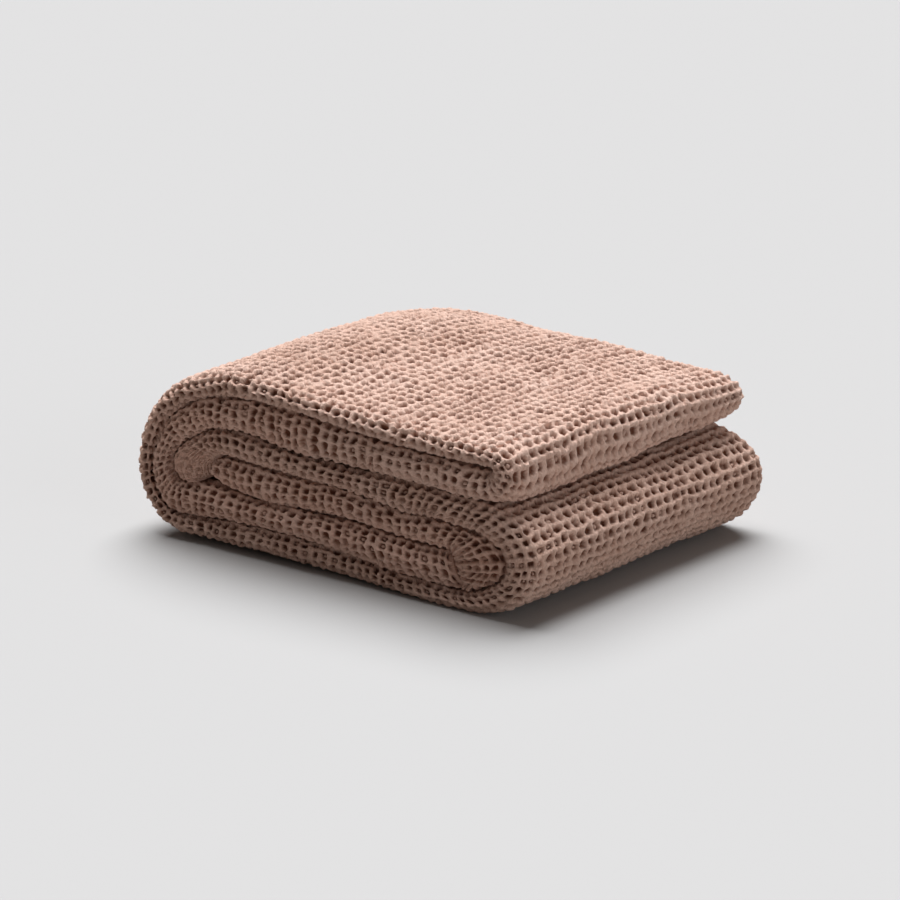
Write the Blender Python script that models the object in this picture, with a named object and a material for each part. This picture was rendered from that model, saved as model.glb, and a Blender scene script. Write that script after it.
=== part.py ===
"""A throw blanket folded into a pack that stands by itself: one thick cotton waffle cloth.

The cloth is first folded lengthwise to a strip that is one pack deep and six plies thick.
The strip is then folded up along its length, so the pack is six layers of the strip:
core, inner right turn, lower layer, inner left wrap, flap underside, flap turn, flap top,
outer left wrap, bottom layer, outer right wrap, middle layer and the curled end.
Each stretch between two folds is one solid. Metres, +X along the pack, +Z up, with the
origin at the centre of the base. The flap lifts about the left shoulder, and its free half
curls up about its middle.
"""

import math

import bmesh
import bpy

# Overall sizes of the pack.
PACK_LENGTH = 0.340
PACK_DEPTH = 0.268

# Thickness of each layer of the strip where the pack is flat, from the bottom up.
BOTTOM_THICKNESS = 0.0145
LOWER_THICKNESS = 0.0235
CORE_THICKNESS = 0.0175
MIDDLE_THICKNESS = 0.0215
FLAP_UNDER_THICKNESS = 0.0215
FLAP_TOP_THICKNESS = 0.0135

# Thickness of the strip where it wraps round the ends of the layers inside it.
OUTER_LEFT_THICKNESS = 0.0130
INNER_LEFT_THICKNESS = 0.0160
OUTER_RIGHT_THICKNESS = 0.0230

# Where the flat layers end and the turns begin.
LEFT_TURN_X = -0.0980
INNER_RIGHT_TURN_X = 0.1080
OUTER_RIGHT_TURN_X = 0.1250
FLAP_TURN_X = 0.1300
FLAP_END_X = 0.1500

# The gentle crown that the inner folds push up in the layers above them.
CROWN_HEIGHT = 0.0100
CROWN_X = -0.0600
CROWN_WIDTH = 0.0600

# How much narrower the flap is than the bundle below it, and where its free half starts.
FLAP_SETBACK = 0.0020
FLAP_CURL_X = 0.0300

CLEARANCE = 0.0003
INNER_TURN_RADIUS = 0.0008
CURL_END_LIFT = 0.0030
CURL_SWEEP = 0.88
EDGE_FULLNESS = 0.80
STATION_STEP = 0.0110
TURN_STATIONS = 17
EDGE_STEPS = 6
SHARP_ANGLE = math.radians(40)

THICKNESSES = (
    BOTTOM_THICKNESS,
    LOWER_THICKNESS,
    CORE_THICKNESS,
    MIDDLE_THICKNESS,
    FLAP_UNDER_THICKNESS,
    FLAP_TOP_THICKNESS,
)

# The face between two layers is numbered by how many layers lie below it.
FLOOR, OVER_BOTTOM, OVER_LOWER, OVER_CORE, OVER_MIDDLE, OVER_UNDER, TOP = range(7)

# How much of the crown each of those faces follows.
CROWN_SHARE = (0.0, 0.10, 0.15, 0.65, 0.80, 1.0, 1.0)

# Rose cotton. The shaded inner layers are a little deeper than the outer ones.
OUTER_COLOUR = (0.60, 0.40, 0.33, 1.0)
INNER_COLOUR = (0.50, 0.32, 0.26, 1.0)
FLAP_COLOUR = (0.66, 0.45, 0.37, 1.0)
COTTON_ROUGHNESS = 0.92


def clear_scene():
    for thing in list(bpy.data.objects):
        bpy.data.objects.remove(thing, do_unlink=True)


def cotton(name, colour):
    """A matt cotton finish."""
    material = bpy.data.materials.new(name)
    material.use_nodes = True
    shader = material.node_tree.nodes["Principled BSDF"]
    shader.inputs["Base Color"].default_value = colour
    shader.inputs["Roughness"].default_value = COTTON_ROUGHNESS
    shader.inputs["Metallic"].default_value = 0.0
    return material


def face_height(face, x):
    """Height of the face between two layers at x."""
    stack = sum(THICKNESSES[:face])
    swell = math.exp(-(((x - CROWN_X) / CROWN_WIDTH) ** 2))
    return stack + CROWN_HEIGHT * CROWN_SHARE[face] * swell


def layer_stations(below, above, start_x, end_x):
    """Pairs of inner and outer points (x, z) along a flat layer, clear of its neighbours."""
    count = max(2, math.ceil((end_x - start_x) / STATION_STEP) + 1)
    low_gap = 0.0 if below == FLOOR else CLEARANCE / 2
    high_gap = 0.0 if above == TOP else CLEARANCE / 2
    pairs = []
    for i in range(count):
        x = start_x + (end_x - start_x) * i / (count - 1)
        low = (x, face_height(below, x) + low_gap)
        high = (x, face_height(above, x) - high_gap)
        pairs.append((low, high))
    return pairs


def turn_curve(x, top, bottom, reach, share):
    """A point on the half ellipse that leaves the layers at x, between two heights."""
    angle = math.pi * share
    middle = (top + bottom) / 2
    return (x + reach * math.sin(angle), middle + (top - bottom) / 2 * math.cos(angle))


def turn_stations(x, outer, inner):
    """Stations round a turn. outer and inner are (top, bottom, reach) of two half ellipses."""
    pairs = []
    for i in range(TURN_STATIONS):
        share = i / (TURN_STATIONS - 1)
        pairs.append((turn_curve(x, *inner, share), turn_curve(x, *outer, share)))
    return pairs


def strip_mesh(name, pairs, depth):
    """A closed stretch of the strip: at each station a flat oval with full rounded edges."""
    mesh = bpy.data.meshes.new(name)
    shape = bmesh.new()
    rings = []
    for (inner_x, inner_z), (outer_x, outer_z) in pairs:
        middle_x = (inner_x + outer_x) / 2
        middle_z = (inner_z + outer_z) / 2
        half_x = (outer_x - inner_x) / 2
        half_z = (outer_z - inner_z) / 2
        edge = EDGE_FULLNESS * math.hypot(half_x, half_z)
        edge = min(edge, EDGE_FULLNESS * max(THICKNESSES) / 2)
        ring = []
        for side in (-1, 1):
            for step in range(EDGE_STEPS + 1):
                angle = math.pi * step / EDGE_STEPS
                y = side * (depth / 2 - edge + edge * math.sin(angle))
                rise = -side * math.cos(angle)
                point = (middle_x + half_x * rise, y, middle_z + half_z * rise)
                ring.append(shape.verts.new(point))
        rings.append(ring)
    count = len(rings[0])
    for first, second in zip(rings, rings[1:]):
        for i in range(count):
            j = (i + 1) % count
            shape.faces.new((first[i], first[j], second[j], second[i]))
    shape.faces.new(rings[0][::-1])
    shape.faces.new(rings[-1])
    bmesh.ops.recalc_face_normals(shape, faces=shape.faces)
    shape.to_mesh(mesh)
    shape.free()
    return mesh


def place(name, pairs, depth, material, pivot=None):
    """Adds a stretch of the strip, on its pivot where it moves."""
    mesh = strip_mesh(name, pairs, depth)
    mesh.materials.append(material)
    piece = bpy.data.objects.new(name, mesh)
    bpy.context.scene.collection.objects.link(piece)
    if pivot is not None:
        centre = pivot.matrix_world.translation
        for vertex in mesh.vertices:
            vertex.co -= centre
        piece.parent = pivot
    mesh.shade_smooth()
    mesh.set_sharp_from_angle(angle=SHARP_ANGLE)
    return piece


def make_pivot(name, x, parent=None):
    """An empty on a fold line of the flap, at its top face, with its Y axis along the fold."""
    pivot = bpy.data.objects.new(name, None)
    bpy.context.scene.collection.objects.link(pivot)
    place_at = [x, 0.0, face_height(TOP, x)]
    if parent is not None:
        pivot.parent = parent
        origin = parent.matrix_world.translation
        place_at = [place_at[i] - origin[i] for i in range(3)]
    pivot.location = place_at
    bpy.context.view_layer.update()
    return pivot


def make_bundle(inner_cotton, outer_cotton):
    """The lower layers and their turns, which lie still when the flap is lifted."""
    half = CLEARANCE / 2
    left = LEFT_TURN_X
    right = OUTER_RIGHT_TURN_X
    inner_right = INNER_RIGHT_TURN_X
    bottom = layer_stations(FLOOR, OVER_BOTTOM, left + half, right - half)
    place("bottom_layer", bottom, PACK_DEPTH, outer_cotton)
    lower = layer_stations(OVER_BOTTOM, OVER_LOWER, left + half, inner_right - half)
    place("lower_layer", lower, PACK_DEPTH, inner_cotton)
    core = layer_stations(OVER_LOWER, OVER_CORE, left + half, inner_right - half)
    place("core_layer", core, PACK_DEPTH, inner_cotton)
    middle = layer_stations(OVER_CORE, OVER_MIDDLE, left + half, right - half)
    place("middle_layer", middle, PACK_DEPTH, outer_cotton)


def face_heights(x):
    return [face_height(face, x) for face in range(7)]


def make_left_turns(inner_cotton, outer_cotton):
    """Two wraps, one inside the other, round the curled end of the middle layer."""
    half = CLEARANCE / 2
    x = LEFT_TURN_X
    start = x - half
    z = face_heights(x)
    outer_reach = -PACK_LENGTH / 2 - start
    between_reach = outer_reach + OUTER_LEFT_THICKNESS
    curl_reach = between_reach + INNER_LEFT_THICKNESS
    outer = turn_stations(
        start,
        (z[TOP], z[FLOOR], outer_reach),
        (z[OVER_UNDER] + half, z[OVER_BOTTOM] - half, between_reach - half),
    )
    place("outer_left_wrap", outer, PACK_DEPTH, outer_cotton)
    inner = turn_stations(
        start,
        (z[OVER_UNDER] - half, z[OVER_BOTTOM] + half, between_reach + half),
        (z[OVER_MIDDLE] + half, z[OVER_LOWER] - half, curl_reach - half),
    )
    place("inner_left_wrap", inner, PACK_DEPTH, inner_cotton)
    curl_outer = (z[OVER_MIDDLE] - half, z[OVER_LOWER] + half, curl_reach + half)
    curl_top = z[OVER_CORE] + half
    curl_tip = z[OVER_LOWER] + CURL_END_LIFT
    curl = []
    for i in range(TURN_STATIONS):
        share = i / (TURN_STATIONS - 1)
        inner_point = (start, curl_top + (curl_tip - curl_top) * share)
        curl.append((inner_point, turn_curve(start, *curl_outer, CURL_SWEEP * share)))
    place("curled_end", curl, PACK_DEPTH, inner_cotton)


def make_right_turns(inner_cotton, outer_cotton):
    """The tight turn between the core and lower layers, and the wrap that covers it."""
    half = CLEARANCE / 2
    start = INNER_RIGHT_TURN_X + half
    z = face_heights(INNER_RIGHT_TURN_X)
    turn_end = PACK_LENGTH / 2 - OUTER_RIGHT_THICKNESS
    tight = turn_stations(
        start,
        (z[OVER_CORE] - half, z[OVER_BOTTOM] + half, turn_end - half - start),
        (
            z[OVER_LOWER] + INNER_TURN_RADIUS,
            z[OVER_LOWER] - INNER_TURN_RADIUS,
            INNER_TURN_RADIUS,
        ),
    )
    place("inner_right_turn", tight, PACK_DEPTH, inner_cotton)
    wrap_x = OUTER_RIGHT_TURN_X + half
    z = face_heights(OUTER_RIGHT_TURN_X)
    wrap = turn_stations(
        wrap_x,
        (z[OVER_MIDDLE], z[FLOOR], PACK_LENGTH / 2 - wrap_x),
        (z[OVER_CORE] + half, z[OVER_BOTTOM] - half, turn_end + half - wrap_x),
    )
    place("outer_right_wrap", wrap, PACK_DEPTH, outer_cotton)


def make_flap(flap_cotton):
    """The two layers of the flap, cut where its free half curls, and the turn at its end."""
    half = CLEARANCE / 2
    depth = PACK_DEPTH - 2 * FLAP_SETBACK
    shoulder = make_pivot("flap_lift_pivot", LEFT_TURN_X)
    fold = make_pivot("flap_curl_pivot", FLAP_CURL_X, shoulder)
    stretches = (
        ("flap_top_root", OVER_UNDER, TOP, LEFT_TURN_X, FLAP_CURL_X, shoulder),
        ("flap_under_root", OVER_MIDDLE, OVER_UNDER, LEFT_TURN_X, FLAP_CURL_X, shoulder),
        ("flap_top_end", OVER_UNDER, TOP, FLAP_CURL_X, FLAP_TURN_X, fold),
        ("flap_under_end", OVER_MIDDLE, OVER_UNDER, FLAP_CURL_X, FLAP_TURN_X, fold),
    )
    for name, below, above, start_x, end_x, pivot in stretches:
        pairs = layer_stations(below, above, start_x + half, end_x - half)
        place(name, pairs, depth, flap_cotton, pivot)
    z = face_heights(FLAP_TURN_X)
    start = FLAP_TURN_X + half
    turn = turn_stations(
        start,
        (z[TOP], z[OVER_MIDDLE] + half, FLAP_END_X - start),
        (
            z[OVER_UNDER] + INNER_TURN_RADIUS,
            z[OVER_UNDER] - INNER_TURN_RADIUS,
            INNER_TURN_RADIUS,
        ),
    )
    place("flap_turn", turn, depth, flap_cotton, fold)


clear_scene()
outer_rose = cotton("outer_rose_cotton", OUTER_COLOUR)
inner_rose = cotton("inner_rose_cotton", INNER_COLOUR)
flap_rose = cotton("flap_rose_cotton", FLAP_COLOUR)
make_bundle(inner_rose, outer_rose)
make_left_turns(inner_rose, outer_rose)
make_right_turns(inner_rose, outer_rose)
make_flap(flap_rose)
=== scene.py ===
import bpy
import math
import numpy as np
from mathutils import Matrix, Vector


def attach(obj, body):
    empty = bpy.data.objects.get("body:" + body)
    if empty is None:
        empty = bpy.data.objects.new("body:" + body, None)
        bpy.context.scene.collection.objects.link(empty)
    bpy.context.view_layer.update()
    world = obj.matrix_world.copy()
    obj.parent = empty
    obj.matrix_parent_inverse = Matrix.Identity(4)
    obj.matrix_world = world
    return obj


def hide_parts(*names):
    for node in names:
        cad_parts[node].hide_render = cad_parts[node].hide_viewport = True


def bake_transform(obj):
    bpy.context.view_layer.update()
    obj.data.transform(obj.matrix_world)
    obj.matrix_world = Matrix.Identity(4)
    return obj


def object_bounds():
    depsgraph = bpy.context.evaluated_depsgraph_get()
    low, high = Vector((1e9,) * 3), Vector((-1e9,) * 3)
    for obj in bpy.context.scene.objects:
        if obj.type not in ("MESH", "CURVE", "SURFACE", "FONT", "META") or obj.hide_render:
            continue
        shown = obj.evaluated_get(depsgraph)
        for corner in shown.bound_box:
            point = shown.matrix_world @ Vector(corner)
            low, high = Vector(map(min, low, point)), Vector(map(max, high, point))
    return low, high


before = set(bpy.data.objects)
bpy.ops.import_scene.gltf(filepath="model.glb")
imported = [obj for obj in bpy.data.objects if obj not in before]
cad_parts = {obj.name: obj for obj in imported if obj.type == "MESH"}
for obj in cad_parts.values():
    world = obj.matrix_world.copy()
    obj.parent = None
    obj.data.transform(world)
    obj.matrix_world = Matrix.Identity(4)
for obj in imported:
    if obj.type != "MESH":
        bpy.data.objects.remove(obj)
cad_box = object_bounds()


# ---------------------------------------------------------------- core layer
# The throw is one heavy cotton waffle cloth, doubled across its width to six plies and then
# folded along its length. The core layer is the strip's first end: it lies in the heart of
# the pack, with its rounded end to the left, and the rest of the strip is wrapped round it.

def ease(value, low, high):
    """0 up to low and 1 from high on, with a smooth step between."""
    share = np.clip((value - low) / (high - low), 0.0, 1.0)
    return share * share * (3.0 - 2.0 * share)


def scatter(i, j, seed):
    """One fixed random number from 0 to 1 for each whole-numbered place (i, j)."""
    key = i.astype(np.int64) * 374761393 + j.astype(np.int64) * 668265263 + seed * 974634777
    key = (key ^ (key >> 13)) * 1274126177
    key = (key ^ (key >> 16)) & 0xFFFFFF
    return key / float(0xFFFFFF)


def ripple(a, b, seed):
    """A smooth random field, from -1 to 1, with one fresh value per unit of a and b."""
    i = np.floor(a)
    j = np.floor(b)
    s = (a - i) ** 2 * (3.0 - 2.0 * (a - i))
    t = (b - j) ** 2 * (3.0 - 2.0 * (b - j))
    low = scatter(i, j, seed) * (1 - s) + scatter(i + 1, j, seed) * s
    high = scatter(i, j + 1, seed) * (1 - s) + scatter(i + 1, j + 1, seed) * s
    return 2.0 * (low * (1 - t) + high * t) - 1.0


def dome(a, b, width):
    """A round bead of yarn, 1 at its top and 0 from its rim outwards."""
    return np.sqrt(np.maximum(1.0 - (a * a + b * b) / (width * width), 0.0))


# The weave. Heights are in metres and all widths in cells.
PIT_DEPTH = 0.0033
PIT_REACH = 0.315
PIT_CORNERS = 3.2
PIT_WALL = (0.68, 1.18)
OPEN_PITS = 0.74
KNOT_WALL = (0.34, 0.74)
ROW_WANDER = (0.22, 0.13)
CELL_WANDER = (0.20, 0.14)
ROW_OFFSET = 0.36
ROW_RIDGE = 0.0004
RIDGE_WIDTH = 0.19
BEAD = 0.0012
BEAD_WIDTH = 0.36
RIM_BEAD = 0.45
RIM_BEAD_WIDTH = 0.24
YARN = 0.00022


def waffle(along, around, plump):
    """Height of the waffle cloth in metres, and how deep in a pit each point is, 0 to 1.

    plump is how far the yarn swells into a round bead at each crossing.
    """
    u = along + ROW_WANDER[0] * ripple(along * 0.33, around * 0.40, 3)
    u = u + ROW_WANDER[1] * ripple(along, around, 4)
    w = around + CELL_WANDER[0] * ripple(along * 0.35, around * 0.45, 5)
    w = w + CELL_WANDER[1] * ripple(along, around, 6)
    i = np.floor(u)
    v = w + ROW_OFFSET * ripple(i, around * 0.24, 14)
    j = np.floor(v)
    p = u - i - 0.5
    q = v - j - 0.5

    reach = PIT_REACH + 0.035 * ripple(u * 0.14, v * 0.12, 18) + 0.08 * (scatter(i, j, 7) - 0.5)
    deep = 0.60 + 0.50 * scatter(i, j, 8)
    pp = np.abs(p - 0.14 * (scatter(i, j, 9) - 0.5)) / reach
    qq = np.abs(q - 0.16 * (scatter(i, j, 10) - 0.5)) / (reach + 0.10 * scatter(i, j, 15) - 0.01)
    from_middle = (pp ** PIT_CORNERS + qq ** PIT_CORNERS) ** (1 / PIT_CORNERS)
    pit = deep * (1.0 - ease(from_middle, *PIT_WALL))
    knot = np.where(scatter(i, j, 11) > OPEN_PITS, 1.0, 0.0) * (0.6 + 0.4 * scatter(i, j, 16))
    pit = pit * (1.0 - knot * (1.0 - ease(np.hypot(pp, qq), *KNOT_WALL)))

    ridge = 0.5 - np.abs(p)
    rim = 0.5 - np.abs(q)
    side = np.rint(w)
    swell = scatter(np.rint(u), side, 12)
    width = BEAD_WIDTH + 0.10 * plump - 0.06 * swell
    beads = (0.75 + 0.50 * swell) * dome(ridge, w - side, width)
    beads = beads + RIM_BEAD * dome(p, rim, RIM_BEAD_WIDTH)
    yarn = ripple(along * 3.1, around * 3.3, 13) + 0.9 * ripple(along * 4.9, around * 5.3, 17)
    height = ROW_RIDGE * np.exp(-(ridge / RIDGE_WIDTH) ** 2) + BEAD * plump * (beads - 0.7)
    height = height + YARN * yarn * (1.0 - 0.5 * pit) - PIT_DEPTH * pit
    return height, pit


ROW_STEP = 0.0008
CURVE_STEPS = 60


def draw_rails(rungs):
    """Smooth rails through a ladder of rungs, (x, z) to the left and (x, z) to the right.

    The rungs are in millimetres. The first and the last only steer the ends. Returns the two
    rails, evenly spaced along the strip, and the length of the longer one.
    """
    knots = np.array(rungs, float) / 1000.0
    move = np.diff(knots, axis=0)
    gap = np.maximum(np.linalg.norm(move[:, 0:2], axis=1), np.linalg.norm(move[:, 2:4], axis=1))
    slope = (knots[2:] - knots[:-2]) / (gap[1:] + gap[:-1])[:, None]
    t = np.linspace(0.0, 1.0, CURVE_STEPS)[:, None]
    line = []
    for k in range(len(rungs) - 3):
        a = knots[k + 1]
        b = knots[k + 2]
        span = gap[k + 1]
        line.append(a * (2 * t ** 3 - 3 * t ** 2 + 1) + b * (3 * t ** 2 - 2 * t ** 3)
                    + slope[k] * span * (t ** 3 - 2 * t ** 2 + t)
                    + slope[k + 1] * span * (t ** 3 - t ** 2))
    line = np.concatenate(line)
    move = np.diff(line, axis=0)
    step = np.maximum(np.linalg.norm(move[:, 0:2], axis=1), np.linalg.norm(move[:, 2:4], axis=1))
    run = np.concatenate([[0.0], np.cumsum(step)])
    place = np.linspace(0.0, run[-1], int(round(run[-1] / ROW_STEP)) + 1)
    rails = np.stack([np.interp(place, run, line[:, k]) for k in range(4)], 1)
    return rails[:, 0:2], rails[:, 2:4], run[-1]


FINE_STEP = 0.00075
COARSE_STEP = 0.022
HIDDEN_MARGIN = 0.013


def face_columns(half, shown):
    """Places across one face, from its middle out to the start of its rounded edge."""
    if shown:
        return np.linspace(0.0, half, int(round(half / shown)) + 1)
    start = half - HIDDEN_MARGIN
    coarse = np.linspace(0.0, start, int(round(start / COARSE_STEP)) + 1)
    fine = np.linspace(start, half, int(round(HIDDEN_MARGIN / FINE_STEP)) + 1)
    return np.concatenate([coarse, fine[1:]])


EDGE_POWER = 2.0


def edge_profile(thick, bulge):
    """The rounded long edge: shares of the bulge and of the half thickness, evenly spaced."""
    angle = np.linspace(0.0, np.pi, 721)
    out = np.abs(np.sin(angle)) ** (2 / EDGE_POWER)
    up = -np.sign(np.cos(angle)) * np.abs(np.cos(angle)) ** (2 / EDGE_POWER)
    step = np.hypot(np.diff(out * bulge), np.diff(up * thick))
    run = np.concatenate([[0.0], np.cumsum(step)])
    place = np.linspace(0.0, run[-1], int(round(run[-1] / FINE_STEP)) + 1)
    return np.interp(place, run, out), np.interp(place, run, up)


EDGE_BULGE = 0.0095
half_depth = cad_box[1][1]


def cross_section(thick, bulge, shown):
    """The closed outline of a row, from the middle of the under face all the way round.

    Returns five lists, one value per column: the shares of the flat half width, of the edge's
    bulge and of the half thickness, and how many flat half widths and how many edges the cloth
    has run so far.
    """
    flat = half_depth - EDGE_BULGE
    under = face_columns(flat, 0) / flat
    over = face_columns(flat, shown) / flat
    out, up = edge_profile(thick, bulge)
    turn = np.linspace(0.0, 1.0, len(out))[1:-1]
    out = out[1:-1]
    up = up[1:-1]
    at_under = np.zeros(len(under))
    at_over = np.zeros(2 * len(over) - 1)
    return (
        np.concatenate([-under, 0 * turn - 1, -over[::-1], over[1:], 0 * turn + 1, under[::-1]]),
        np.concatenate([at_under, -out, at_over, out[::-1], at_under]),
        np.concatenate([at_under - 1, up, at_over + 1, up[::-1], at_under - 1]),
        np.concatenate([under, 0 * turn + 1, 2 - over[::-1], 2 + over[1:], 0 * turn + 3,
                        4 - under[::-1]]),
        np.concatenate([at_under, turn, at_over + 1, 1 + turn, at_under + 2]))


# How the pack has sunk and leant. The flap starts above FLAP_LEVEL, and its nose is its free end.
PACK_LENGTH = 0.34
PACK_HEIGHT = 0.12
STRETCH = 1.006
FLAP_LEVEL = (0.0735, 0.078)
LEAN_FRONT_LEFT = 0.0016
LEAN_BACK_LEFT = 0.0010
LEAN_BACK_RIGHT = -0.0020
CROWN_ACROSS = 0.0048
BACK_DROOP = 0.0055
NOSE_DROP = 0.0018
NOSE_SAG = 0.0060
FRONT_EDGE_LIFT = 0.0045
SKEW_LEFT = -0.0074
SKEW_RIGHT = 0.0029


def settle(points):
    """How the whole pack has sunk and leant under its own weight."""
    x, y, z = points[..., 0], points[..., 1], points[..., 2]
    back = np.clip(y / half_depth * 0.5 + 0.5, 0.0, 1.0)
    left = np.clip(0.5 - x / PACK_LENGTH, 0.0, 1.0)
    height = np.clip(z / PACK_HEIGHT, 0.0, 1.1)
    upper = ease(z, *FLAP_LEVEL)
    flap = ease(x, 0.03, 0.15) * upper
    crown = 1.0 - (2.0 * back - 1.0) ** 2
    lift = height * ((1 - back) * LEAN_FRONT_LEFT * left
                     + back * (LEAN_BACK_LEFT * left + LEAN_BACK_RIGHT * (1 - left)))
    lift = lift + height * upper * CROWN_ACROSS * crown
    lift = lift - height * upper * BACK_DROOP * ease(y, 0.070, half_depth) * ease(left, 0.25, 0.75)
    lift = lift - flap * back ** 2 * NOSE_DROP * (1.0 + 0.6 * ease(z, 0.09, 0.112))
    nose = upper * ease(x, 0.118, 0.140) * (1.0 - ease(z, 0.084, 0.106))
    lift = lift - nose * NOSE_SAG * ease(y, -half_depth, -0.106) * (1.0 - ease(y, -0.02, 0.080))
    lift = lift + nose * NOSE_SAG * 0.8 * ease(y, 0.085, half_depth)
    front_edge = ease(-y, 0.080, half_depth) * (1.0 - ease(z, 0.0, 0.06))
    lift = lift + front_edge * FRONT_EDGE_LIFT * ease(left, 0.05, 1.0)
    shift = back * (SKEW_LEFT * left + SKEW_RIGHT * (1 - left))
    return np.stack([x * STRETCH + shift, y, z + lift], -1)


def close_shell(name, skin, depth, chart):
    """One closed piece from rows of points, with each end row drawn in to its own middle.

    The first and the last row of skin are laps that lie under the neighbouring stretch. depth
    and chart have one value for each point between them: how deep in a pit it is, and where
    it lies on the flat cloth.
    """
    rows, count = skin.shape[0:2]
    bpy.ops.object.select_all(action="DESELECT")
    bpy.ops.mesh.primitive_grid_add(x_subdivisions=count - 1, y_subdivisions=rows + 1, size=1.0)
    piece = bpy.context.object
    piece.name = name
    mesh = piece.data
    place = np.empty(len(mesh.vertices) * 3)
    mesh.vertices.foreach_get("co", place)
    place = place.reshape(-1, 3) + 0.5
    column = np.rint(place[:, 0] * (count - 1)).astype(int)
    row = np.rint(place[:, 1] * (rows + 1)).astype(int)
    ends = np.repeat(np.stack([skin[1].mean(0), skin[-2].mean(0)])[:, None], count, 1)
    whole = np.concatenate([ends[0:1], skin, ends[1:2]])
    mesh.vertices.foreach_set("co", whole[row, column].ravel())

    woven = np.clip(row - 2, 0, rows - 3)
    # How deep in a pit each point is; the cottons paint shade into the pits with it.
    pit = mesh.attributes.new("pit", "FLOAT", "POINT")
    pit.data.foreach_set("value", depth[woven, column].astype(np.float32))
    rim = mesh.attributes.new("rim", "FLOAT", "POINT")
    rim.data.foreach_set("value", ((row <= 2) | (row > rows - 2)).astype(np.float32))
    corner = np.empty(len(mesh.loops), np.int32)
    mesh.loops.foreach_get("vertex_index", corner)
    spread = chart[woven, column][corner]
    mesh.uv_layers.active.data.foreach_set("uv", spread.ravel().astype(np.float32))

    bpy.ops.object.mode_set(mode="EDIT")
    bpy.ops.mesh.select_all(action="SELECT")
    bpy.ops.mesh.remove_doubles(threshold=0.000002)
    bpy.ops.mesh.normals_make_consistent(inside=False)
    bpy.ops.object.mode_set(mode="OBJECT")
    bpy.ops.object.shade_smooth_by_angle(angle=math.radians(75))
    on_rim = np.empty(len(mesh.vertices), np.float32)
    mesh.attributes["rim"].data.foreach_get("value", on_rim)
    pair = np.empty(2 * len(mesh.edges), np.int32)
    mesh.edges.foreach_get("vertices", pair)
    sharp = np.empty(len(mesh.edges), bool)
    mesh.edges.foreach_get("use_edge_sharp", sharp)
    sharp = sharp | np.all(on_rim[pair.reshape(-1, 2)] > 0.5, axis=1)
    mesh.edges.foreach_set("use_edge_sharp", sharp)
    mesh.attributes.remove(mesh.attributes["rim"])
    return piece


CELL_ALONG = 0.0079
CELL_AROUND = 0.0086
CELLS_AROUND = 67
EDGE_CROWDING = 1.25
EDGE_ROUNDING = 1.35
EDGE_WANDER = 0.0011
ARC_POWER = 1.336
PINCH_REACH = 0.0035
HIDDEN_START = 0.007
HIDDEN_SINK = 0.0006
LUMP = 0.0009
LAP = 0.3
LAP_SINK = 0.0004
PRESS_SPAN = (0.014, 0.034)
RIBS_PER_CELL = 3.0


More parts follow.
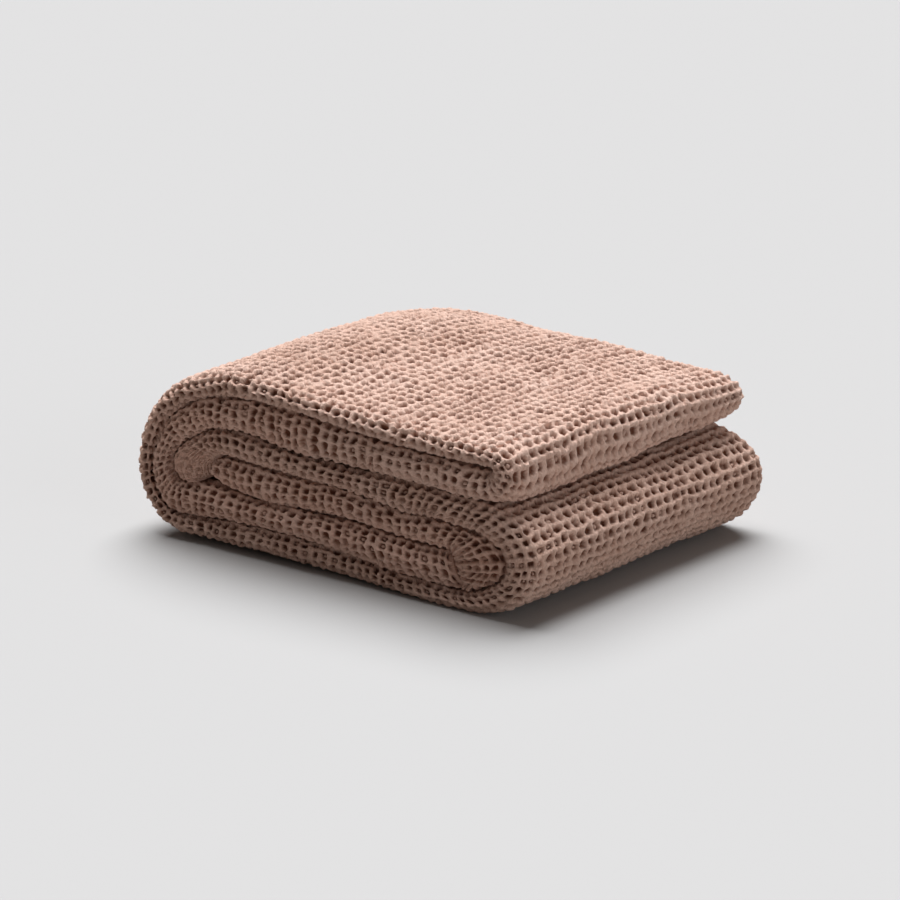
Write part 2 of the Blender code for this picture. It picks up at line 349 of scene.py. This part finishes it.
def lay_cloth(name, rungs, start, shown, setback=(0.0, 0.0), pinch=(0.0, 0.0), plump=1.0,
              gathers=0.0, ribs=0.0):
    """One stretch of the strip along a ladder of rungs, woven and closed all round.

    shown is the spacing of the weave's points over the right-hand face, or 0 where the face is
    hidden. setback is how far the long edges stand back at the start and at the end, and pinch
    how far they draw in there. gathers and ribs are the depth of the creases in a tight turn
    and of the upright ribs in a pressed edge. Returns the piece and the number of waffle rows
    laid so far.
    """
    low, high, length = draw_rails(rungs)
    rows = len(low)
    middle = (low + high) / 2
    rung = high - low
    thick = np.maximum(np.linalg.norm(rung, axis=1), 1e-5)
    reach = rung / thick[:, None]
    thick = thick / 2
    share = np.linspace(0.0, 1.0, rows)
    from_start = share * length
    to_end = (1.0 - share) * length
    wide = half_depth - (setback[0] + (setback[1] - setback[0]) * share)
    wide = wide - pinch[0] * np.exp(-from_start / PINCH_REACH)
    wide = wide - pinch[1] * np.exp(-to_end / PINCH_REACH)
    bulge = np.minimum(thick * EDGE_ROUNDING, EDGE_BULGE)
    level = wide - bulge

    # Where each point of the shell lies on the flat cloth, counted in cells.
    flat, out, up, flats, turns = cross_section(np.median(thick), np.median(bulge), shown)
    arc = 2 * (thick ** ARC_POWER + bulge ** ARC_POWER) ** (1 / ARC_POWER)
    edge_run = EDGE_CROWDING * arc
    trip = flats[None, :] * level[:, None] + turns[None, :] * edge_run[:, None]
    v = trip / (4 * level + 2 * edge_run)[:, None] * CELLS_AROUND
    along = start + share * length / CELL_ALONG
    u = np.repeat(along[:, None], len(up), 1)

    # The smooth shell, and which way is outwards on it.
    wander = EDGE_WANDER * ripple(u * 0.16, np.sign(v - CELLS_AROUND / 2) * 3.0, 21)
    y = flat[None, :] * level[:, None] + out[None, :] * bulge[:, None]
    y = y * (1.0 + wander / half_depth)
    t = up[None, :] * thick[:, None]
    base = np.stack([middle[:, 0:1] + reach[:, 0:1] * t, y, middle[:, 1:2] + reach[:, 1:2] * t], 2)
    down = np.gradient(base, axis=0, edge_order=2)
    across = np.empty_like(base)
    across[:, 1:-1] = base[:, 2:] - base[:, :-2]
    across[:, 0] = base[:, 1] - base[:, -2]
    across[:, -1] = across[:, 0]
    normal = np.cross(down, across)
    normal = normal / np.maximum(np.linalg.norm(normal, axis=2, keepdims=True), 1e-12)
    centre = np.stack([middle[:, 0], 0 * middle[:, 0], middle[:, 1]], 1)[:, None, :]
    if np.sum(normal * (base - centre)) < 0:
        normal = -normal

    # The weave on it, fainter where the cloth is packed together and gone where it is hidden.
    tucked = up < 0 if shown else np.abs(up) > 0.9999
    inward = (1.0 - np.abs(flat)) * (half_depth - EDGE_BULGE)
    woven = np.where(tucked & (out == 0), 1.0 - ease(inward, HIDDEN_START, HIDDEN_MARGIN), 1.0)
    packed = np.linalg.norm(down, axis=2) / (length / (rows - 1))
    calm = ease(packed, 0.10, 0.75)
    if pinch[0]:
        calm = calm * ease(from_start, 0.0, PINCH_REACH)[:, None]
    if pinch[1]:
        calm = calm * ease(to_end, 0.0, PINCH_REACH)[:, None]
    height, pit = waffle(u, v, plump)
    height = height * calm * woven[None, :] - HIDDEN_SINK * (1.0 - woven[None, :])
    height = height + LUMP * woven[None, :] * ripple(u * 0.28 + 40, v * 0.3, 31)
    if gathers:
        crease = np.cos(2 * np.pi * (0.62 * u + 0.3 * ripple(u * 0.5, v * 0.2, 33))) * 0.5 + 0.5
        height = height - gathers * crease ** 3 * np.abs(out)[None, :]
    if ribs:
        sway = 0.35 * ripple(u * 0.6, v * 0.5, 35)
        rib = np.cos(2 * np.pi * (RIBS_PER_CELL * v + sway))
        press = ease(from_start, *PRESS_SPAN)[:, None]
        height = height * (1.0 - 0.7 * press) + press * ribs * rib * np.abs(out) ** 0.5
        calm = calm * (1.0 - 0.65 * press)
        # Painted shade: the grooves between the ribs count as pit, so the cotton darkens them.
        pit = np.maximum(pit, 0.7 * press * (0.5 - 0.5 * rib) * np.abs(out))

    spot = settle(base + normal * height[:, :, None])
    spot[:, :, 2] = np.maximum(spot[:, :, 2], 0.0)
    first_lap = spot[0] + LAP * (spot[0] - spot[1]) - LAP_SINK * normal[0]
    last_lap = spot[-1] + LAP * (spot[-1] - spot[-2]) - LAP_SINK * normal[-1]
    skin = np.concatenate([first_lap[None], spot, last_lap[None]])
    chart = np.stack([u * CELL_ALONG, v * CELL_AROUND], 2)
    # The pit values, faded where the cloth is calm or hidden, go to the cotton as painted shade.
    return close_shell(name, skin, pit * calm * woven[None, :], chart), along[-1]


class Socket:
    """A value in a material, so that shader maths is written as plain arithmetic."""

    def __init__(self, tree, link):
        self.tree = tree
        self.link = link

    def node(self, kind, settings=None, inputs=None, output=0):
        made = self.tree.nodes.new(kind)
        for key, value in (settings or {}).items():
            setattr(made, key, value)
        for key, value in (inputs or {}).items():
            if isinstance(value, Socket):
                self.tree.links.new(value.link, made.inputs[key])
            else:
                made.inputs[key].default_value = value
        return Socket(self.tree, made.outputs[output])

    def math(self, operation, first, second):
        return self.node("ShaderNodeMath", {"operation": operation}, {0: first, 1: second})

    def __add__(self, other):
        return self.math("ADD", self, other)

    def __radd__(self, other):
        return self.math("ADD", other, self)

    def __sub__(self, other):
        return self.math("SUBTRACT", self, other)

    def __rsub__(self, other):
        return self.math("SUBTRACT", other, self)

    def __mul__(self, other):
        return self.math("MULTIPLY", self, other)

    def __rmul__(self, other):
        return self.math("MULTIPLY", other, self)

    def __pow__(self, other):
        return self.math("POWER", self, other)

    def mix(self, first, second):
        """Blend two colours, with this value as the share of the second."""
        return self.node("ShaderNodeMix", {"data_type": "RGBA"}, {0: self, 6: first, 7: second}, 2)


def make_cotton(name, yarn, shade, fleck):
    """Stone-washed cotton: soft fibres, twisted yarn, and painted shade, darker the deeper in a
    pit.
    """
    cotton = bpy.data.materials.new(name)
    cotton.use_nodes = True
    tree = cotton.node_tree
    shader = tree.nodes["Principled BSDF"]
    here = Socket(tree, None)
    chart = here.node("ShaderNodeUVMap", {"uv_map": "UVMap"})
    depth = here.node("ShaderNodeAttribute", {"attribute_name": "pit"}, output=2)
    patches = here.node("ShaderNodeTexNoise", {}, {"Vector": chart, "Scale": 26.0, "Detail": 3.0})
    fibres = here.node("ShaderNodeTexNoise", {}, {"Vector": chart, "Scale": 750.0, "Detail": 4.0,
                                                  "Roughness": 0.62})
    slubs = here.node("ShaderNodeTexNoise", {}, {"Vector": chart, "Scale": 330.0, "Detail": 2.0})
    washed = (patches - 0.36) * 1.2 + (fibres - 0.5) * 2.6 + 0.22
    colour = washed.mix(yarn, fleck)
    # Painted shade: the colour is mixed towards shade the deeper a point lies in a pit, and random
    # slubs darken it a little as well.
    pit_shade_and_slubs = (depth * 1.3) ** 1.2 + (0.47 - slubs) * 1.4
    colour = pit_shade_and_slubs.mix(colour, shade)
    tree.links.new(colour.link, shader.inputs["Base Color"])
    relief = fibres * 0.8 + slubs * 0.8
    bump = here.node("ShaderNodeBump", {}, {"Height": relief, "Strength": 1.0, "Distance": 0.0016})
    tree.links.new(bump.link, shader.inputs["Normal"])
    shader.inputs["Roughness"].default_value = 0.94
    shader.inputs["Specular IOR Level"].default_value = 0.15
    shader.inputs["Sheen Weight"].default_value = 0.12
    shader.inputs["Sheen Roughness"].default_value = 0.6
    shader.inputs["Sheen Tint"].default_value = (1.0, 0.86, 0.80, 1.0)
    return cotton


# The inner, flap and outer cottons are copies of the one cloth, each with yarn and pit colours
# tuned to how light falls on its layers: painted light. This copy is lighter, lifting the shaded
# edges of the inner layers.
inner_cotton_light_tuned = make_cotton("inner_cotton_waffle", (0.76, 0.50, 0.40, 1.0),
                           (0.25, 0.105, 0.065, 1.0), (0.84, 0.60, 0.51, 1.0))


def finish_cloth(piece, cotton, nodes):
    """Give a woven stretch its cotton, and hide the CAD parts that it stands for."""
    piece.data.materials.append(cotton)
    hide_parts(*nodes)


core, laid = lay_cloth(
    "core_layer_cloth",
    [(-104.5, 50, -104.5, 58), (-104.5, 54.4, -104.5, 53.8), (-101, 60.5, -101, 46.5),
     (-94, 63.5, -94, 42), (-84, 63.4, -84, 39.8), (-50, 62, -50, 38.4), (-15, 61, -15, 40),
     (17, 60, 17, 40.6), (59, 55, 59, 38), (86, 54.5, 84, 37.6), (104, 54, 98, 37.2),
     (124, 52.5, 99.2, 37)],
    start=0.0, shown=0, setback=(0.003, 0.002))
finish_cloth(core, inner_cotton_light_tuned, ["core_layer"])
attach(core, "bundle")


# --------------------------------------------------------- inner right turn
# At its right end the core layer doubles back under itself in a tight U. The outer plies
# have to reach round, and the cloth on the inside of the bend bunches into fanned gathers.

inner_turn, laid = lay_cloth(
    "inner_right_turn_cloth",
    [(86, 54.5, 84, 37.6), (104, 54, 98, 37.2), (124, 52.5, 99.5, 34.5), (139, 45, 100.3, 31),
     (143.5, 35, 101.3, 27.5), (137, 25, 103, 23.5), (124, 16.8, 106.5, 18.5),
     (112, 12.3, 110.5, 13.6), (100, 11.8, 112, 10)],
    start=laid, shown=0, setback=(0.002, 0.002), pinch=(0.0, 0.004), gathers=0.0026)
finish_cloth(inner_turn, inner_cotton_light_tuned, ["inner_right_turn"])
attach(inner_turn, "bundle")


# -------------------------------------------------------------- lower layer
# The strip runs back to the left as the second layer from the bottom. It is the fullest
# of the layers, because the turn at its right end keeps its plies from being pressed flat.

lower, laid = lay_cloth(
    "lower_layer_cloth",
    [(124, 14, 104, 35), (111, 12.3, 98, 35.6), (100, 11.8, 92, 36), (80, 12.3, 76, 36.4),
     (42, 14, 42, 38.4), (9, 17, 9, 39.8), (-23, 19, -23, 39), (-60, 18.5, -60, 37.4),
     (-89, 17, -88, 39), (-108, 15.5, -107, 41.5), (-124, 14, -125, 38.5), (-136, 13.5, -133, 39)],
    start=laid, shown=0, setback=(0.001, 0.0005), pinch=(0.006, 0.0))
finish_cloth(lower, inner_cotton_light_tuned, ["lower_layer"])
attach(lower, "bundle")


# ------------------------------------- inner left wrap and root of the under flap
# The strip climbs round the left end of the heart and becomes the flap's lower layer.

SHADED_STEP = 0.0018
inner_wrap, laid = lay_cloth(
    "inner_left_wrap_cloth",
    [(-108, 15.5, -107, 41.5), (-124, 14, -125, 38.5), (-136, 13.5, -133, 39),
     (-147, 17.5, -138, 40.5), (-154.5, 30, -141.5, 45), (-158, 45, -142.5, 51),
     (-157, 59, -141.5, 57), (-145, 81, -131, 69), (-128, 93, -118, 76), (-110, 101, -104, 81.5),
     (-74, 107.5, -74, 83.5), (-45, 107, -45, 79.5), (-20, 105.5, -20, 77.5), (10, 103, 10, 77)],
    start=laid, shown=SHADED_STEP, setback=(0.0005, 0.0015))
finish_cloth(inner_wrap, inner_cotton_light_tuned, ["inner_left_wrap", "flap_under_root"])
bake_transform(inner_wrap)


# ---------------------------------------------------- free end of the under flap
# The flap's lower layer runs on to the right and rests on the middle layer.

# A copy of the same cloth for the flap, with lighter yarn and a lighter painted pit shade than the
# outer copy, tuned to how light falls on the flap.
flap_cotton_light_tuned = make_cotton("flap_cotton_waffle", (0.70, 0.465, 0.375, 1.0),
                          (0.24, 0.105, 0.066, 1.0), (0.88, 0.655, 0.565, 1.0))
flap_under, laid = lay_cloth(
    "flap_under_end_cloth",
    [(-45, 107, -45, 79.5), (-20, 105.5, -20, 77.5), (10, 103, 10, 77), (45, 99.9, 45, 77),
     (80, 98.6, 80, 76.8), (105, 98, 105, 76.4), (121, 97.6, 122, 76.6), (131, 97.4, 135, 77.6),
     (132.4, 97.7, 147, 83.5)],
    start=laid, shown=SHADED_STEP, setback=(0.0015, 0.001))
finish_cloth(flap_under, flap_cotton_light_tuned, ["flap_under_end"])
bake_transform(flap_under)


# ------------------------------------------------------------------- flap turn
# The fold at the free end of the flap, where its lower layer turns up and over into the
# top layer. Nothing holds the fold: it is a blunt nose of soft plies, a little pinched on
# the inside, that sags a little behind its front corner.

flap_turn, laid = lay_cloth(
    "flap_turn_cloth",
    [(121, 97.6, 122, 76.6), (131, 97.4, 135, 77.6), (132.4, 97.7, 147, 83.5),
     (133, 98.2, 151.5, 96), (132.4, 98.7, 147, 107), (131, 99, 133, 112.2),
     (110, 99, 110, 112.3)],
    start=laid, shown=FINE_STEP, plump=1.2, setback=(0.001, 0.0005))
finish_cloth(flap_turn, flap_cotton_light_tuned, ["flap_turn"])
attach(flap_turn, "flap_end")


# ------------------------------------------------------ free end of the top layer
# The top layer of the flap is the face that shows most: thick ridges of yarn run across
# it from front to back, with thinner rims between, and each pit is a slightly different size.

top_end, laid = lay_cloth(
    "flap_top_end_cloth",
    [(132.4, 98.7, 147, 107), (131, 99, 133, 112.2), (110, 99, 110, 112.3), (78, 99.6, 78, 113.3),
     (40, 101.1, 40, 115), (3, 104.6, 3, 117.2), (-20, 106.2, -20, 119.3), (-45, 107.7, -45, 122)],
    start=laid, shown=FINE_STEP, plump=1.6, setback=(0.0005, 0.0005))
finish_cloth(top_end, flap_cotton_light_tuned, ["flap_top_end"])
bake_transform(top_end)


# ------------------------------------- root of the top layer and outer left wrap
# The top layer goes over the left shoulder and down round the whole left end of the pack.

# A copy of the same cloth for the outer layers, with the darkest yarn and the darkest painted pit
# shade, tuned to how light falls on them.
outer_cotton_light_tuned = make_cotton("outer_cotton_waffle", (0.66, 0.43, 0.34, 1.0),
                           (0.18, 0.073, 0.042, 1.0), (0.86, 0.63, 0.54, 1.0))
outer_wrap, laid = lay_cloth(
    "outer_left_wrap_cloth",
    [(3, 104.6, 3, 117.2), (-20, 106.2, -20, 119.3), (-45, 107.7, -45, 122),
     (-74, 108.3, -75, 123), (-95, 105.3, -100, 120), (-113, 100.5, -122, 113.5),
     (-131, 92, -142, 103), (-146, 80, -158, 87), (-156, 62, -168.5, 65),
     (-158.8, 45, -171, 44), (-155.2, 30, -166.5, 25), (-147.5, 18, -153, 10),
     (-137, 13, -138, 2.5), (-124, 13.2, -120, 0), (-89, 16.2, -88, 0)],
    start=laid, shown=FINE_STEP, plump=1.6, setback=(0.0005, 0.001))
finish_cloth(outer_wrap, outer_cotton_light_tuned, ["outer_left_wrap", "flap_top_root"])
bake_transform(outer_wrap)


# ------------------------------------------------------------- bottom layer
# The layer that the pack lies on. It is the same six plies, pressed thin and flat by the
# weight of the cotton above, and its front edge lifts off the floor towards the left.

bottom, laid = lay_cloth(
    "bottom_layer_cloth",
    [(-137, 13, -138, 2.5), (-124, 13.2, -120, 0), (-89, 16.2, -88, 0), (-55, 17.9, -55, 0),
     (-20, 18.2, -20, 0), (15, 16, 15, 0), (45, 13, 50, 0), (78, 11.5, 85, 0), (100, 11, 110, 0),
     (112, 11.5, 126, 0.6), (126, 16.5, 146, 6)],
    start=laid, shown=SHADED_STEP, setback=(0.001, 0.002))
finish_cloth(bottom, outer_cotton_light_tuned, ["bottom_layer"])
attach(bottom, "bundle")


# --------------------------------------------------------- outer right wrap
# The strip turns up round the right end of the bundle in one full, open curve. Here the
# weave is stretched over the bend, so the rows of pits stand out clearly.

right_wrap, laid = lay_cloth(
    "outer_right_wrap_cloth",
    [(100, 11, 110, 0), (112, 11.5, 126, 0.6), (126, 16.5, 146, 6), (138.5, 25, 161, 20),
     (144.4, 35.5, 169, 40), (139.8, 45.6, 164, 57), (124.5, 53.3, 146, 69.5),
     (106, 54.8, 120, 74.5), (86, 55.3, 100, 75.7)],
    start=laid, shown=FINE_STEP, setback=(0.002, 0.0015))
finish_cloth(right_wrap, outer_cotton_light_tuned, ["outer_right_wrap"])
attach(right_wrap, "bundle")


# ------------------------------------------------------------- middle layer
# The last long layer of the strip, right under the flap. It is held only by the weight
# of the flap, and thickens to the left, where it covers the end of the core layer.

middle_layer, laid = lay_cloth(
    "middle_layer_cloth",
    [(124.5, 53.3, 146, 69.5), (106, 54.8, 120, 74.5), (86, 55.3, 100, 75.7), (59, 55.8, 63, 76.2),
     (17, 60.8, 17, 76.2), (-15, 61.8, -15, 77), (-50, 62.8, -50, 79), (-70, 63.8, -77, 82.7),
     (-93, 64.8, -103, 80.7), (-101, 61.5, -126.5, 70)],
    start=laid, shown=SHADED_STEP, setback=(0.0015, 0.0025))
finish_cloth(middle_layer, outer_cotton_light_tuned, ["middle_layer"])
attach(middle_layer, "bundle")


# --------------------------------------------------------------- curled end
# The strip's last end curls down over the end of the core layer, tucked inside the inner
# left wrap. Its plies are squeezed together, so its edge shows fine upright ribs.

curled, _ = lay_cloth(
    "curled_end_cloth",
    [(-70, 63.8, -77, 82.7), (-93, 64.8, -103, 80.7), (-101, 61.5, -126.5, 70),
     (-105, 57, -140, 58.5), (-106, 52.5, -141.5, 49), (-106.5, 48.5, -136.5, 40.8),
     (-109, 46, -124, 40), (-113.5, 44.2, -114, 43.6), (-114, 43, -110, 45)],
    start=laid, shown=0, setback=(0.0025, 0.004), ribs=0.0010)
finish_cloth(curled, inner_cotton_light_tuned, ["curled_end"])
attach(curled, "bundle")


# ------------------------------------------------- floor, light and camera
# A plain pale floor, one broad soft light from above, behind and to the left, a weak
# reflector at the right, and a weak warm fill. The camera stands to the right of the front,
# well back, and looks down on the pack a little.

floor_paint = bpy.data.materials.new("studio_floor")
floor_paint.use_nodes = True
tree = floor_paint.node_tree
matt = tree.nodes["Principled BSDF"]
matt.inputs["Roughness"].default_value = 1.0
matt.inputs["Specular IOR Level"].default_value = 0.0
FLOOR_IN_BOUNCES = (0.31, 0.29, 0.275, 1.0)
FLOOR_IN_VIEW = (0.455, 0.457, 0.462, 1.0)
in_view = Socket(tree, None).node("ShaderNodeLightPath", output=0)
seen = in_view.mix(FLOOR_IN_BOUNCES, FLOOR_IN_VIEW)
tree.links.new(seen.link, matt.inputs["Base Color"])
bpy.ops.object.select_all(action="DESELECT")
bpy.ops.mesh.primitive_plane_add(size=24.0, location=(0.0, 0.0, 0.0))
floor = bpy.context.object
floor.name = "studio_floor"
floor.data.materials.append(floor_paint)

for name, energy, spread, toward in (
        ("overhead_softbox", 5.35, 54.0, Vector((-0.34, 0.36, 1.0))),
        ("side_reflector", 0.62, 46.0, Vector((1.0, 0.05, 0.20)))):
    bpy.ops.object.light_add(type="SUN", location=3.0 * toward)
    lamp = bpy.context.object
    lamp.name = name
    lamp.data.energy = energy
    lamp.data.angle = math.radians(spread)
    lamp.rotation_euler = toward.to_track_quat("Z", "Y").to_euler()

world = bpy.data.worlds.new("studio_fill")
bpy.context.scene.world = world
world.use_nodes = True
fill = world.node_tree.nodes["Background"]
fill.inputs["Color"].default_value = (1.0, 0.87, 0.79, 1.0)
fill.inputs["Strength"].default_value = 0.120

target = Vector((-0.1213, 0.1514, 0.0))
azimuth = math.radians(38.5)
elevation = math.radians(16.5)
distance = 2.609
away = Vector((math.sin(azimuth) * math.cos(elevation), -math.cos(azimuth) * math.cos(elevation),
               math.sin(elevation)))
bpy.ops.object.camera_add(location=target + distance * away)
camera = bpy.context.object
camera.rotation_euler = away.to_track_quat("Z", "Y").to_euler()
camera.data.sensor_width = 36.0
camera.data.lens = 140.0
camera.data.clip_end = 60.0
bpy.context.scene.camera = camera
bpy.context.scene.view_settings.view_transform = "Standard"
